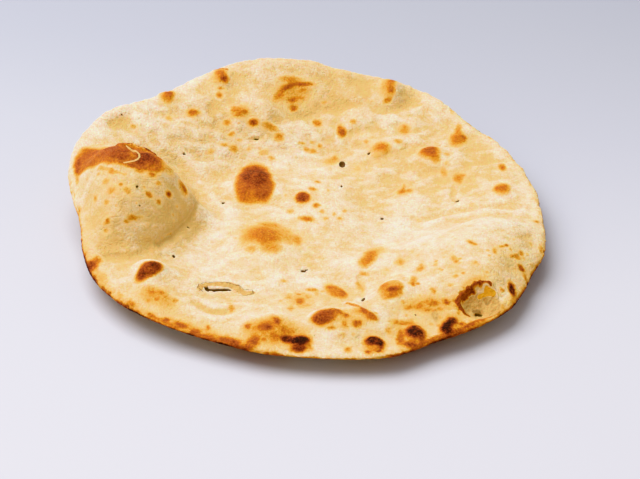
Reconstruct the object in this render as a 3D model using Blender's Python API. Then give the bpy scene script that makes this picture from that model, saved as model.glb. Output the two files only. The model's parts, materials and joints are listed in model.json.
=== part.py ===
"""Naan bread: one round leavened flatbread, as it comes off the hot oven wall.

The bread is one closed sheet of dough. It lies flat round its middle, and its rim curls up, little
at the front and more at the left and the back. Steam has lifted the skin into pockets and blisters,
and a blister at the right has burst and sunk.

+X is the bread's right, +Y its back and +Z up. The origin is on the surface that the bread rests
on, under the middle of its outline's box.
"""

import math
from typing import NamedTuple

import bmesh
import bpy
from mathutils import Vector

# Driving sizes. Lengths are in millimetres, and bearings in degrees from +X towards +Y.
# The finished mesh is in metres.
MM = 0.001

GRID_CELLS = 46           # cells across the sheet, each about 4.8 mm
RIM_ROWS = 3              # rows of faces round the rounded rim
DOUGH_THICKNESS = 7.5     # away from the pockets
THINNING_START = 0.72     # share of the way out at which the dough begins to thin
FLAT_SHARE = 0.46         # share of the way out that lies flat on the table
BRIM = 0.55               # how far the curl levels off at the rim: 0 is a bowl, 1 a flat brim
CURL_POWER = 1.7          # how late the bowl curls up: 1 is a straight slope
FADE_START = 0.84         # share of the way out from which blisters round down to the rim
WAVE_HEIGHT = 0.5         # of each of the two gentle waves all over the top
WAVE_LENGTH = 47.0
CRUST_COLOUR = (0.80, 0.60, 0.33, 1.0)
CRUST_ROUGHNESS = 0.72


class RimStation(NamedTuple):
    """The rim at one bearing."""

    bearing: float        # degrees
    reach: float          # from the middle of the sheet to the outermost edge
    lift: float           # of the underside above the table
    edge: float           # thickness of the rounded edge


RIM = (
    RimStation(0, 110.2, 11.0, 3.0),
    RimStation(22, 111.2, 12.0, 3.0),
    RimStation(45, 113.0, 13.5, 3.0),
    RimStation(60, 115.0, 19.5, 3.0),
    RimStation(68, 113.2, 22.0, 3.0),
    RimStation(80, 108.5, 27.0, 3.0),
    RimStation(92, 108.0, 33.0, 3.0),
    RimStation(106, 108.0, 35.5, 3.0),
    RimStation(118, 110.0, 30.5, 3.5),
    RimStation(132, 109.5, 26.0, 4.5),
    RimStation(150, 115.3, 28.5, 6.0),
    RimStation(160, 117.0, 25.0, 7.5),
    RimStation(170, 115.5, 19.0, 9.0),
    RimStation(178, 110.5, 14.0, 9.5),
    RimStation(186, 106.0, 11.5, 9.0),
    RimStation(195, 106.0, 9.5, 7.5),
    RimStation(204, 107.0, 8.5, 6.0),
    RimStation(215, 106.0, 8.5, 4.5),
    RimStation(230, 102.6, 8.5, 3.5),
    RimStation(245, 99.3, 7.5, 3.0),
    RimStation(260, 100.0, 7.0, 3.0),
    RimStation(275, 102.5, 7.0, 3.0),
    RimStation(290, 107.0, 7.0, 3.0),
    RimStation(302, 106.5, 7.0, 3.0),
    RimStation(322, 112.5, 7.5, 3.5),
    RimStation(337, 110.5, 8.0, 3.5),
    RimStation(344, 112.5, 9.5, 3.0),
)


class Swelling(NamedTuple):
    """An oval of skin that steam has lifted, or one that has sunk where its height is below 0."""

    x: float
    y: float
    long: float           # half its length
    wide: float           # half its width
    turn: float           # bearing of its length, degrees
    height: float
    fullness: float       # 2 is a soft bell, 4 a flat top with steep sides


POCKETS = (
    Swelling(-82, 2, 40, 37, 48, 23.0, 2.6),       # big pocket at the left
    Swelling(-78, 6, 34, 15, -12, 2.6, 2.0),       # its ridge
    Swelling(-67, 6, 21, 13, -42, 2.4, 2.0),       # the ridge's right shoulder
    Swelling(-73.5, 20, 27, 10, -24, 3.8, 2.0),    # fullness behind the ridge
    Swelling(-53, 5, 17, 8.5, -36, 7.0, 2.0),      # fullness beside it, towards the middle
    Swelling(73, -38, 52, 40, 25, 9.0, 3.0),       # broad pocket at the right
    Swelling(17, -80, 24, 14, 0, 4.5, 3.0),        # pair of blisters at the front
    Swelling(-16, -84, 20, 12, -8, 4.0, 2.5),
    Swelling(-69, -50, 17, 13, 35, 5.0, 2.5),      # two blisters in front of the big pocket
    Swelling(-69, -67, 15, 10, -20, 3.0, 2.5),
    Swelling(-26, 29, 17, 16, 0, 4.5, 3.0),        # domes of the middle
    Swelling(-19, -21, 21, 17, -10, 4.5, 2.6),
    Swelling(2, 19, 27, 22, -15, 3.0, 3.0),
    Swelling(27, -33, 15, 12, 20, 2.0, 2.5),
    Swelling(37, -62, 13, 11, 0, 3.0, 2.5),
    Swelling(36, 58, 14, 11, -20, 2.5, 2.5),       # blisters of the back
    Swelling(61, 53, 14, 12, 0, 1.5, 2.5),
    Swelling(76, 67, 12, 10, 40, 2.0, 2.5),
    Swelling(93, 19, 13, 10, 80, 1.5, 2.5),
    Swelling(41, 96, 13, 11, 60, 4.5, 2.5),
    Swelling(-28, 74, 20, 13, -20, 2.5, 3.0),
    Swelling(-43, 93, 13, 10, 60, 4.0, 2.5),
    Swelling(-58, 79, 11, 9, 0, 2.0, 2.5),
)

HOLLOWS = (
    Swelling(76, -70, 13, 10, 10, -3.5, 4.0),      # burst blister at the right
    Swelling(-36, -55, 15, 7, -4, -2.0, 3.0),      # torn slit at the front left
    Swelling(4, 83, 28, 12, -6, -4.5, 2.5),        # long dip under the back rim
    Swelling(-89, 52, 15, 8, 35, -3.0, 2.0),       # dip behind the big pocket
    Swelling(57, 94, 14, 9, -35, -3.0, 2.0),       # dip beside the back blister
    Swelling(85, 52, 16, 9, -50, -1.5, 2.0),       # dip inside the right rim
    Swelling(-58, -12, 26, 9, 50, -2.0, 2.0),      # furrow along the big pocket's foot
)


def rim_at(bearing: float) -> RimStation:
    """Return the rim at any bearing, on a smooth closed curve through the stations."""
    bearing = bearing % 360.0
    after = next((i for i, station in enumerate(RIM) if station.bearing > bearing), 0)
    last, first, second, third = (RIM[(after + step) % len(RIM)] for step in (-2, -1, 0, 1))
    gap_before = (first.bearing - last.bearing) % 360.0
    gap = (second.bearing - first.bearing) % 360.0
    gap_after = (third.bearing - second.bearing) % 360.0
    t = ((bearing - first.bearing) % 360.0) / gap
    values = []
    for a, b, c, d in zip(last[1:], first[1:], second[1:], third[1:]):
        slope_in = (c - a) / (gap_before + gap) * gap
        slope_out = (d - b) / (gap + gap_after) * gap
        square_term = 3.0 * (c - b) - 2.0 * slope_in - slope_out
        cube_term = 2.0 * (b - c) + slope_in + slope_out
        values.append(b + slope_in * t + square_term * t ** 2 + cube_term * t ** 3)
    return RimStation(bearing, *values)


def ease(value: float) -> float:
    """Return a smooth step from 0 to 1 as the value goes from 0 to 1."""
    value = min(max(value, 0.0), 1.0)
    return value * value * (3.0 - 2.0 * value)


def rise(swelling: Swelling, x: float, y: float) -> float:
    """Return the height that one swelling adds at a place."""
    turn = math.radians(swelling.turn)
    right = x - swelling.x
    back = y - swelling.y
    along = (right * math.cos(turn) + back * math.sin(turn)) / swelling.long
    across = (back * math.cos(turn) - right * math.sin(turn)) / swelling.wide
    distance = math.hypot(along, across)
    if distance >= 1.0:
        return 0.0
    return swelling.height * (1.0 - distance ** swelling.fullness) ** 2


def underside(share: float, rim: RimStation) -> float:
    """Return the underside's height, a share of the way from the middle to the rim."""
    curl = max(share - FLAT_SHARE, 0.0) / (1.0 - FLAT_SHARE)
    return rim.lift * ((1.0 - BRIM) * curl ** CURL_POWER + BRIM * ease(curl))


def thickness(share: float, rim: RimStation, x: float, y: float) -> float:
    """Return the dough's thickness at a place, with its pockets, hollows and gentle waves."""
    thinning = ease((share - THINNING_START) / (1.0 - THINNING_START))
    plain = DOUGH_THICKNESS + (rim.edge - DOUGH_THICKNESS) * thinning
    relief = WAVE_HEIGHT * math.sin(math.tau * (x + 0.35 * y) / WAVE_LENGTH)
    relief += WAVE_HEIGHT * math.cos(math.tau * (1.25 * y - 0.3 * x) / WAVE_LENGTH)
    relief += sum(rise(swelling, x, y) for swelling in POCKETS + HOLLOWS)
    fading = max(share - FADE_START, 0.0) / (1.0 - FADE_START)
    return plain + relief * (1.0 - fading ** 2)


def round_place(across: float, up: float) -> tuple[float, float]:
    """Turn a place on a square sheet, from -1 to 1 each way, into one on a round sheet.

    Each square ring of the sheet becomes a round ring of the same size.
    Returns the share of the way out and the bearing in degrees.
    """
    share = max(abs(across), abs(up))
    if share == 0.0:
        return 0.0, 0.0
    if abs(across) >= abs(up):
        bearing = 45.0 * up / across + (180.0 if across < 0.0 else 0.0)
    else:
        bearing = 90.0 - 45.0 * across / up + (180.0 if up < 0.0 else 0.0)
    return share, bearing


def dough_place(place: Vector) -> Vector:
    """Return where a place on the cube, from -1 to 1 each way, lies on the bread, in millimetres.

    The cube's top and bottom become the bread's two skins, and its four sides the rounded rim.
    """
    share, bearing = round_place(place.x, place.y)
    rim = rim_at(bearing)
    outwards = Vector((math.cos(math.radians(bearing)), math.sin(math.radians(bearing)), 0.0))
    spot = outwards * share * (rim.reach - 0.5 * rim.edge)
    height = underside(share, rim)
    thick = thickness(share, rim, spot.x, spot.y)
    if math.isclose(share, 1.0, abs_tol=1e-5):
        round_the_edge = math.radians(90.0 * place.z)
        spot += outwards * 0.5 * thick * math.cos(round_the_edge)
        height += 0.5 * thick * (1.0 + math.sin(round_the_edge))
    elif place.z > 0.0:
        height += thick
    spot.z = height
    return spot


def edges_along(sheet: bmesh.types.BMesh, axis: int) -> list[bmesh.types.BMEdge]:
    """Return the mesh's edges that run along one axis."""
    found = []
    for edge in sheet.edges:
        run = edge.verts[1].co - edge.verts[0].co
        if abs(run[axis]) > 0.99 * run.length:
            found.append(edge)
    return found


def centre_on_origin(mesh: bpy.types.Mesh) -> None:
    """Slide the mesh along the table until its box is centred on the origin."""
    for axis in (0, 1):
        places = [vertex.co[axis] for vertex in mesh.vertices]
        middle = 0.5 * (min(places) + max(places))
        for vertex in mesh.vertices:
            vertex.co[axis] -= middle


def dough_mesh(name: str) -> bpy.types.Mesh:
    """Build the bread's closed mesh from a cube that is cut into a fine grid."""
    sheet = bmesh.new()
    bmesh.ops.create_cube(sheet, size=2.0)
    for axis, cells in ((2, RIM_ROWS), (0, GRID_CELLS), (1, GRID_CELLS)):
        cut = edges_along(sheet, axis)
        bmesh.ops.subdivide_edges(sheet, edges=cut, cuts=cells - 1, use_grid_fill=True)
    for vertex in sheet.verts:
        vertex.co = dough_place(vertex.co) * MM
    bmesh.ops.recalc_face_normals(sheet, faces=sheet.faces)
    mesh = bpy.data.meshes.new(name)
    sheet.to_mesh(mesh)
    sheet.free()
    centre_on_origin(mesh)
    mesh.shade_smooth()
    return mesh


def crust_material() -> bpy.types.Material:
    """Return the pale, dry crust of the bread."""
    crust = bpy.data.materials.new("naan_crust")
    crust.use_nodes = True
    shader = crust.node_tree.nodes["Principled BSDF"]
    shader.inputs["Base Color"].default_value = CRUST_COLOUR
    shader.inputs["Roughness"].default_value = CRUST_ROUGHNESS
    shader.inputs["Metallic"].default_value = 0.0
    return crust


def main() -> None:
    """Clear the scene, and build the bread in a collection of its own."""
    for thing in list(bpy.data.objects):
        bpy.data.objects.remove(thing, do_unlink=True)
    collection = bpy.data.collections.new("naan_bread")
    bpy.context.scene.collection.children.link(collection)
    mesh = dough_mesh("naan")
    mesh.materials.append(crust_material())
    bread = bpy.data.objects.new("naan", mesh)
    collection.objects.link(bread)
    facets = bread.modifiers.new("facets", "TRIANGULATE")
    facets.quad_method = "SHORTEST_DIAGONAL"


main()
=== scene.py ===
"""Naan bread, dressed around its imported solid: a blistered, browned flat bread on a pale table."""

import json
import logging
import math
from collections.abc import Iterable, Iterator
from contextlib import contextmanager
from dataclasses import dataclass, field
from enum import Enum
from typing import TypeVar

import bpy
import numpy as np
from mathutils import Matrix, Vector

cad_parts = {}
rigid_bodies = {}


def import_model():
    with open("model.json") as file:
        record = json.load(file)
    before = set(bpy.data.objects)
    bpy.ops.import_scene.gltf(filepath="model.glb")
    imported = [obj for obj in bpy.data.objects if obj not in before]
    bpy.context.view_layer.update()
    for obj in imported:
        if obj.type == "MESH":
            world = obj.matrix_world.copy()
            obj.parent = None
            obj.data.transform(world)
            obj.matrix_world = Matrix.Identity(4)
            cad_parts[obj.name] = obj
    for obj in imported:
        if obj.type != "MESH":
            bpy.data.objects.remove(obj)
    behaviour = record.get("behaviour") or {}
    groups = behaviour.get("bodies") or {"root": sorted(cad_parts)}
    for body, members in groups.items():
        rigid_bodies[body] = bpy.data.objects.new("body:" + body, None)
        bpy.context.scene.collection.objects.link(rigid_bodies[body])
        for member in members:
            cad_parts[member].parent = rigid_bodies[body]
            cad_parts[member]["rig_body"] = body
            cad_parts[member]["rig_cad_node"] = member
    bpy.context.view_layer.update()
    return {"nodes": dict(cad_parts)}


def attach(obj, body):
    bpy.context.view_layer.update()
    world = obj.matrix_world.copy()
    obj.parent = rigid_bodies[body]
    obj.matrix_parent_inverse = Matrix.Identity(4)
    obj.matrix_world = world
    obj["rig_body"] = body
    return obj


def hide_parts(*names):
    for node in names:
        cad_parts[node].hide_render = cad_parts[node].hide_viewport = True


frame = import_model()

MM = 0.001
LOG = logging.getLogger("naan")
UPPER_PULL = 0.1      # how much a mark prefers the upper skin to the lower, where it finds its level
GLOW_REACH = 2.4      # how far the glow round a browned mark goes, in mm
GLOW_SHARE = 0.42     # the glow's heat, as a share of the mark's
KNOTS = 128           # random values along each side of a layer of clouds, before it repeats
RAG_SEEDS = (21, 22)  # what fixes the random rags along +X and along +Y

Colour = tuple[float, ...]
Path = tuple[tuple[float, float], ...]
Mark = TypeVar("Mark")


# -------------------- shader wiring


class Wire:
    """A shader socket that takes part in Python expressions, each of which adds its Math node."""

    def __init__(self, board: "Board", socket: bpy.types.NodeSocket) -> None:
        """Keep the socket and the board it is on."""
        self.board = board
        self.socket = socket

    def _maths(self, operation: str, *values: "Wire | float", clamp: bool = False) -> "Wire":
        """Add one Math node.

        Args:
            operation: What it works out.
            values: The values or Wires it works on.
            clamp: Whether its result is kept between 0 and 1.

        Returns:
            Its result.
        """
        return self.board.node(
            "ShaderNodeMath",
            {"operation": operation, "use_clamp": clamp},
            dict(enumerate(values)),
        )

    def __add__(self, other: "Wire | float") -> "Wire":
        """Return this plus other."""
        return self._maths("ADD", self, other)

    __radd__ = __add__

    def __sub__(self, other: "Wire | float") -> "Wire":
        """Return this less other."""
        return self._maths("SUBTRACT", self, other)

    def __rsub__(self, other: "Wire | float") -> "Wire":
        """Return other less this."""
        return self._maths("SUBTRACT", other, self)

    def __mul__(self, other: "Wire | float") -> "Wire":
        """Return this times other."""
        return self._maths("MULTIPLY", self, other)

    __rmul__ = __mul__

    def clamped(self) -> "Wire":
        """Return this kept between 0 and 1."""
        return self._maths("ADD", self, 0.0, clamp=True)

    def eased(self, low: float, high: float) -> "Wire":
        """Turn this into a smooth step.

        Args:
            low: The value up to which the step is 0.
            high: The value from which it is 1.

        Returns:
            The step.
        """
        return self.board.node(
            "ShaderNodeMapRange",
            {"interpolation_type": "SMOOTHSTEP"},
            {"Value": self, "From Min": low, "From Max": high},
        )


class Board:
    """A material's node board: every node on it comes from node()."""

    def __init__(self, name: str) -> None:
        """Make the material and clear its board.

        Args:
            name: The material's name.
        """
        self.material = bpy.data.materials.new(name)
        self.material.use_nodes = True
        self.tree = self.material.node_tree
        self.tree.nodes.clear()

    def node(
        self,
        kind: str,
        settings: dict[str, object] | None = None,
        inputs: dict[str | int, object] | None = None,
        output: str | int = 0,
    ) -> Wire | None:
        """Add a node, set it up and wire it.

        Args:
            kind: The node's type name.
            settings: The node's own settings, such as its operation; a ramp's stops go under "stops".
            inputs: A value or a Wire for each socket, by name or number.
            output: The output that is returned.

        Returns:
            The chosen output, or None from a node that has no outputs.
        """
        made = self.tree.nodes.new(kind)
        for name, value in (settings or {}).items():
            if name == "stops":
                self._set_stops(made.color_ramp, value)
            else:
                setattr(made, name, value)
        for key, value in (inputs or {}).items():
            if isinstance(value, Wire):
                self.tree.links.new(value.socket, made.inputs[key])
            else:
                made.inputs[key].default_value = value
        return Wire(self, made.outputs[output]) if made.outputs else None

    @staticmethod
    def _set_stops(ramp: bpy.types.ColorRamp, stops: tuple[tuple[float, Colour], ...]) -> None:
        """Give a ramp its stops.

        Args:
            ramp: The ramp.
            stops: Each stop's place from 0 to 1 and its colour, from left to right.
        """
        while len(ramp.elements) > 1:
            ramp.elements.remove(ramp.elements[-1])
        for number, (place, colour) in enumerate(stops):
            element = ramp.elements[0] if number == 0 else ramp.elements.new(place)
            element.position = place
            element.color = colour

    def painted(self, layer: "Layer") -> Wire:
        """Return a layer painted on the mesh."""
        return self.node("ShaderNodeAttribute", {"attribute_name": layer.value}, output="Fac")

    def place(self) -> Wire:
        """Return the point's place on the piece, in metres."""
        return self.node("ShaderNodeTexCoord", output="Object")

    def noise(self, size: float, detail: float, rough: float) -> Wire:
        """Return cloudy noise around 0.5.

        Args:
            size: The width of its blotches in mm.
            detail: How many finer layers it has.
            rough: How strong the finer layers are.

        Returns:
            The noise, from 0 to 1.
        """
        return self.node(
            "ShaderNodeTexNoise",
            None,
            {"Vector": self.place(), "Scale": 1.0 / (size * MM), "Detail": detail, "Roughness": rough},
            output="Fac",
        )

    def spots(self, spacing: float) -> Wire:
        """Scatter spots over the piece.

        Args:
            spacing: Their spacing in mm.

        Returns:
            The distance from the nearest spot's middle, in shares of the spacing.
        """
        return self.node(
            "ShaderNodeTexVoronoi",
            None,
            {"Vector": self.place(), "Scale": 1.0 / (spacing * MM)},
        )

    def blend(self, share: Wire, first: Wire | Colour, second: Wire | Colour) -> Wire:
        """Return two colours mixed.

        Args:
            share: How much of the second there is.
            first: The first colour, or its Wire.
            second: The second colour, or its Wire.

        Returns:
            The mixed colour.
        """
        return self.node(
            "ShaderNodeMix",
            {"data_type": "RGBA"},
            {"Factor": share, 6: first, 7: second},
            output=2,
        )

    def finish(self, **sockets: object) -> bpy.types.Material:
        """End the board in a Principled shader.

        Args:
            sockets: A value or a Wire for each of the shader's sockets, with _ for a space.

        Returns:
            The finished material.
        """
        named = {name.replace("_", " "): value for name, value in sockets.items()}
        shader = self.node("ShaderNodeBsdfPrincipled", None, named)
        self.node("ShaderNodeOutputMaterial", None, {"Surface": shader})
        return self.material


def tone(red: int, green: int, blue: int) -> Colour:
    """Return a screen colour, 0 to 255 a channel, as the light values a shader takes."""
    shares = [c / 255 for c in (red, green, blue)]
    return (*[s / 12.92 if s <= 0.04045 else ((s + 0.055) / 1.055) ** 2.4 for s in shares], 1.0)


# -------------------- marks on the bread


class Layer(Enum):
    """The layers painted on the skin's vertices, under the names that the shader reads them by."""

    BROWNING = "browning"
    # How golden the dough is: its tinted areas, with painted shade in hollows and on right-hand flanks and
    # painted light on bumps.
    HOLLOW = "hollow"
    FRECKLING = "freckling"
    LIP = "lip"
    BARE = "bare"
    # Painted shade inside pinholes and slits, and the dark outlines round torn places.
    HOLE = "hole"


def smooth(share: np.ndarray) -> np.ndarray:
    """Return shares from 0 to 1 eased at both ends."""
    return share * share * (3 - 2 * share)


def turned(points: np.ndarray, turn: float) -> tuple[np.ndarray, np.ndarray]:
    """Return how far points lie along and across a direction, seen from above.

    Args:
        points: The points.
        turn: The direction, in degrees from +X.

    Returns:
        The distances along it and across it.
    """
    angle = math.radians(turn)
    x, y = points[:, 0], points[:, 1]
    return x * math.cos(angle) + y * math.sin(angle), y * math.cos(angle) - x * math.sin(angle)


def path_gap(path: Path, points: np.ndarray) -> np.ndarray:
    """Return each point's distance, seen from above, from a line through a path's points.

    Args:
        path: The line's corners, in mm.
        points: The points, in mm.

    Returns:
        The distances in mm.
    """
    nearest = np.full(len(points), 1e9)
    for start, end in zip(path, path[1:]):
        first = np.array(start)
        run = np.array(end) - first
        share = np.clip((points[:, :2] - first) @ run / (run @ run), 0, 1)
        gap = points[:, :2] - first - share[:, None] * run
        np.minimum(nearest, np.hypot(gap[:, 0], gap[:, 1]), out=nearest)
    return nearest


@dataclass(frozen=True)
class Patch:
    """An oval area of the bread, seen from above, in mm from the bread's middle.

    long and wide are the oval's half lengths, and turn is how far long is turned from +X, in degrees.
    """

    x: float
    y: float
    long: float
    wide: float
    turn: float = 0.0

    def reach(self, points: np.ndarray) -> np.ndarray:
        """Return how far out in the oval each point is: 0 in its middle and 1 on its edge."""
        along, across = turned(points[:, :2] - (self.x, self.y), self.turn)
        return np.hypot(along / self.long, across / self.wide)

    def skin_reach(self, points: np.ndarray) -> np.ndarray:
        """Return the same along the upper skin, so that an oval on a steep flank keeps its shape.

        Args:
            points: The points, in mm.

        Returns:
            How far out in the oval each point is.
        """
        gap = np.hypot(points[:, 0] - self.x, points[:, 1] - self.y)
        level = points[np.argmin(gap - UPPER_PULL * points[:, 2]), 2]
        return np.hypot(self.reach(points), (points[:, 2] - level) / math.sqrt(self.long * self.wide))


@dataclass(frozen=True)
class Tint(Patch):
    """An area with a soft edge, and how strongly it is tinted, freckled or roughened."""

    strength: float = 0.0

    def paint(self, points: np.ndarray, fade: float = 1.4) -> np.ndarray:
        """Return the strength at each point.

        Args:
            points: The points, in mm.
            fade: The reach at which it has fallen to 0, from whole at a reach that is 1 less.

        Returns:
            The strengths.
        """
        return self.strength * np.clip(fade - self.reach(points), 0, 1)


@dataclass(frozen=True)
class Scorch(Patch):
    """A browned mark: heat is 0.2 for yellow, 0.4 orange, 0.6 red-brown, 0.8 brown and over 1 for charred.

    core is the share of its way out over which it is level.
    """

    heat: float = 0.4
    core: float = 0.15

    def paint(self, points: np.ndarray) -> np.ndarray:
        """Return the mark's heat, which is level over its core and has a faint glow around its edge.

        Args:
            points: The points, in mm.

        Returns:
            The heat at each of them.
        """
        away = self.skin_reach(points)
        out = np.clip((away - self.core) / (2.1 - 2 * self.core), 0, 1)
        glow = np.clip(1 - (away - 1) * math.sqrt(self.long * self.wide) / GLOW_REACH, 0, 1)
        return self.heat * np.maximum(1 - smooth(out), GLOW_SHARE * glow)


@dataclass(frozen=True)
class Swelling(Patch):
    """A blister, or with a height below 0 a dent: a high fullness gives it a flat top and steep sides."""

    height: float = 1.0
    fullness: float = 2.5

    def lift(self, points: np.ndarray) -> np.ndarray:
        """Return the swelling's height at each point, in mm."""
        return self.height * (1 - np.clip(self.reach(points), 0, 1) ** self.fullness) ** 2


@dataclass(frozen=True)
class Prick(Patch):
    """A hole where steam got out, with its depth in mm."""

    depth: float = 1.6

    def share(self, points: np.ndarray) -> np.ndarray:
        """Return 1 in the hole's middle, falling to 0 just past its edge."""
        return np.clip(1.6 - self.skin_reach(points), 0, 1)

    def sink(self, points: np.ndarray) -> np.ndarray:
        """Return how deep the hole is at each point, in mm."""
        return self.depth * np.clip(self.share(points) * 1.6 - 0.6, 0, 1)


@dataclass(frozen=True)
class Crease:
    """A soft line pressed into the dough, or with a depth below 0 a raised fold, through points in mm."""

    path: Path
    width: float
    depth: float

    def sink(self, points: np.ndarray) -> np.ndarray:
        """Return how deep the line is at each point, in mm, with its ends fading out."""
        return self.depth * np.exp(-((path_gap(self.path, points) / self.width) ** 2))


@dataclass(frozen=True)
class Streak:
    """A line of browning through points in mm, with its half width and its heat."""

    path: Path
    width: float
    heat: float

    @property
    def long(self) -> float:
        """Return its full width, which is what sets how ragged its edges are."""
        return self.width * 2

    def paint(self, points: np.ndarray) -> np.ndarray:
        """Return the line's heat at each point, level in its middle and soft at its sides."""
        return self.heat * (1 - smooth(np.clip(path_gap(self.path, points) / self.width - 0.5, 0, 1)))


@dataclass(frozen=True)
class Clouds:
    """Soft random lumps over the bread, about -1 to 1 times their strength.

    size is their spacing in mm, and seed fixes the random draw. Each layer is half as strong and half as
    large as the one before. stretch is how many times longer the lumps are along turn, in degrees from +X.
    """

    strength: float
    size: float
    seed: int
    layers: int = 2
    stretch: float = 1.0
    turn: float = 0.0

    def over(self, points: np.ndarray) -> np.ndarray:
        """Return the lumps' height at each point.

        Args:
            points: The points, in mm.

        Returns:
            The heights.
        """
        draw = np.random.default_rng(self.seed)
        along, across = turned(points, self.turn)
        spread = np.stack([along / (self.size * self.stretch), across / self.size], axis=1)
        total = np.zeros(len(points))
        for layer in range(self.layers):
            knots = draw.uniform(-1, 1, (KNOTS, KNOTS))
            place = spread * 2**layer + draw.uniform(0, KNOTS / 2, 2)
            cell = np.floor(place).astype(int)
            right, up = smooth(place - cell).T
            (x, y), (next_x, next_y) = (cell % KNOTS).T, ((cell + 1) % KNOTS).T
            near = knots[x, y] * (1 - up) + knots[x, next_y] * up
            far = knots[next_x, y] * (1 - up) + knots[next_x, next_y] * up
            total += (near * (1 - right) + far * right) / 2**layer
        return self.strength * total


def together(points: np.ndarray, clouds: Iterable[Clouds]) -> np.ndarray:
    """Return the height of several layers of clouds together at each point."""
    return sum(cloud.over(points) for cloud in clouds)


@dataclass(frozen=True)
class Rags:
    """What makes marks' edges ragged: the rags' spacing in mm, and their depth as a share of it."""

    size: float
    share: float = 0.18

    def over(self, points: np.ndarray) -> np.ndarray:
        """Return the points pushed about along the table, so that a mark read at them has a ragged edge.

        Args:
            points: The points, in mm.

        Returns:
            The moved points.
        """
        moved = points.copy()
        for axis, seed in enumerate(RAG_SEEDS):
            moved[:, axis] += Clouds(self.share * self.size, self.size, seed, 3).over(points)
        return moved


def strongest(streaks: Iterable[Streak], points: np.ndarray) -> np.ndarray:
    """Return the heat of the hottest of several streaks at each point."""
    return np.max([streak.paint(points) for streak in streaks], axis=0)


def blended(heats: Iterable[np.ndarray]) -> np.ndarray:
    """Return several heats joined into one, in which the hottest counts most."""
    return sum(heat**3 for heat in heats) ** (1 / 3)


def marks(kind: type[Mark], *rows: tuple[object, ...]) -> tuple[Mark, ...]:
    """Return one mark of a kind for each row of values.

    Args:
        kind: The kind of mark.
        rows: Each mark's values in the order of the kind's fields. The last may be left out.

    Returns:
        The marks.
    """
    return tuple(kind(*row) for row in rows)



# -------------------- where the marks are


# Browned marks, by area: x, y, long, wide, turn, heat and core.

# The pocket's crest and flanks.
CREST_MARKS = marks(
    Scorch,
    (-87, -6.2, 1.6, 1.1, 0, 0.3), (-106, 15, 2, 6, 8, 0.56, 0.3), (-105.6, 7, 1.1, 3.6, 10, 0.24),
    (-99, 23.2, 6, 3.6, -20, 0.54, 0.3), (-94, 26, 4, 2.4, -20, 0.28, 0.0), (-90, 8, 5.4, 5, 20, 0.52, 0.4),
    (-84, 4, 5, 4, 0, 0.6, 0.5), (-73.6, 5, 3.4, 3.8, -30, 0.84, 0.4),
    (-75.4, 0.6, 3.6, 2.4, -20, 0.62, 0.4), (-70.6, 3.5, 3.8, 3.4, -30, 0.58, 0.4),
    (-78, -2, 3.4, 1.1, -10, 0.56, 0.4), (-66.5, 4, 3.4, 3.6, -30, 0.38, 0.0),
    (-62, 2.6, 3, 3, -30, 0.3, 0.0), (-69.2, -3.6, 2.2, 1.6, -10, 0.46), (-74.6, -3.6, 2.6, 1.3, -10, 0.4),
    (-64.5, 0.5, 1.4, 1.2, 0, 0.3), (-61.4, 5.6, 2.4, 1.2, -40, 0.26), (-55.2, 0.8, 1.1, 3.2, 25, 0.52),
    (-55.8, 1, 2.6, 4.4, 25, 0.36), (-62, -7.2, 1.3, 1.2, 0, 0.72), (-66.2, -6, 1.8, 1, 0, 0.3),
    (-70.2, -12.4, 1.8, 1.6, 0, 0.44), (-66, -13, 1.4, 1.2, 0, 0.4), (-60, -12.4, 1.1, 1, 0, 0.24),
    (-58.3, -8.6, 1.1, 1, 0, 0.22), (-72.3, -10.6, 1.3, 1, 0, 0.22), (-95, -12, 1.4, 2, 0, 0.32),
    (-84, -12.5, 9, 5.6, 0, 0.12, 0.2), (-89, -18.2, 1.8, 1.3, 0, 0.3), (-86.8, -14.6, 2.2, 1.7, 0, 0.31),
    (-80, -14.8, 2.2, 1.9, 0, 0.3), (-90, -9.4, 2.2, 1.2, 0, 0.29), (-94, -3.6, 1.6, 0.9, 0, 0.22),
    (-88.4, -25.4, 1.3, 1.3, 0, 0.44), (-89, -27.6, 1.4, 1.1, 0, 0.28), (-80, -25.4, 1.3, 0.9, 0, 0.34),
    (-77, -23.5, 2.8, 1.3, 14, 0.38), (-73.6, -22, 1.8, 0.9, 14, 0.22),
)

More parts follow.
